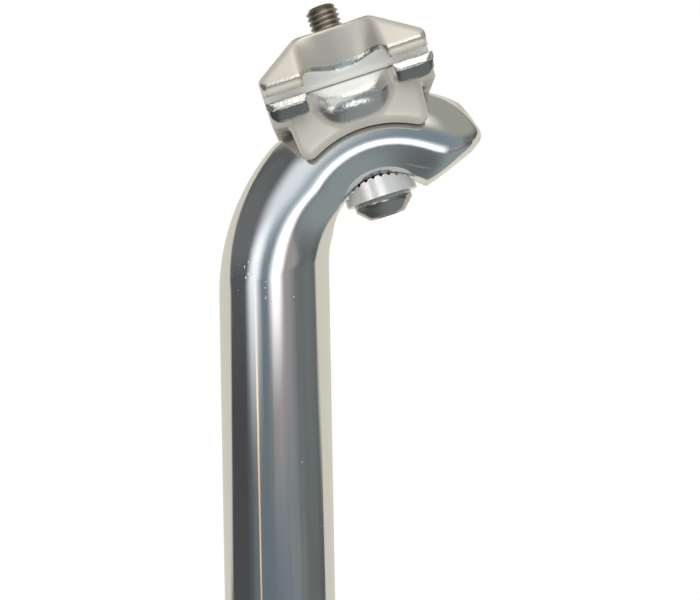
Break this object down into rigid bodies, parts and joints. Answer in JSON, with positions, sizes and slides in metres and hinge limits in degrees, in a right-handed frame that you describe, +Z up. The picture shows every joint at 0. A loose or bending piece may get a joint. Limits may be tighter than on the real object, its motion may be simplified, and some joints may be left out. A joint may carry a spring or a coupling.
{
  "type": "bicycle seatpost",
  "caption": "Bent layback bicycle seatpost: a polished round tube that flows into a clamp head, with a tilting single-bolt clamp for the saddle's rails.",
  "frame": {"origin": "on the tube's axis, where its full wall begins above the chamfer of the lower end", "axes": "+Z up the tube, +X to the rear of the bicycle, the way the clamp is set back, +Y to the right"},
  "size_m": [0.0646, 0.0548, 0.3726],
  "materials": {
    "polished_post": "mirror polished aluminium with fine scratches",
    "clamp_alloy": "forged aluminium, tumbled and polished, slightly uneven",
    "bolt_steel": "plated steel, browned in the thread",
    "washer_steel": "bright nickel plate"
  },
  "bodies": {
    "post": {"post": "polished_post"},
    "cradle": {"lower_cradle": "clamp_alloy", "ridged_washer": "washer_steel"},
    "cap": {"upper_clamp": "clamp_alloy"},
    "bolt": {"clamp_bolt": "bolt_steel"}
  },
  "joints": [
    {"name": "saddle_tilt", "type": "hinge", "parent": "post", "child": "cradle", "pos_m": [0.03005, 0, 0.31385], "axis": [0, 1, 0], "range_deg": [-10, 10]},
    {"name": "bolt_turn", "type": "hinge", "parent": "cradle", "child": "bolt", "pos_m": [0.03005, 0, 0.31385], "axis": [0.2924, 0, -0.9563], "range_deg": [0, 2160]},
    {"name": "cap_lift", "type": "slide", "parent": "cradle", "child": "cap", "axis": [-0.2924, 0, 0.9563], "range_m": [0, 0.0075]}
  ],
  "couplings": [
    {"joint": "bolt_turn", "follows": "cap_lift", "rad_per_m": 5026.5}
  ]
}
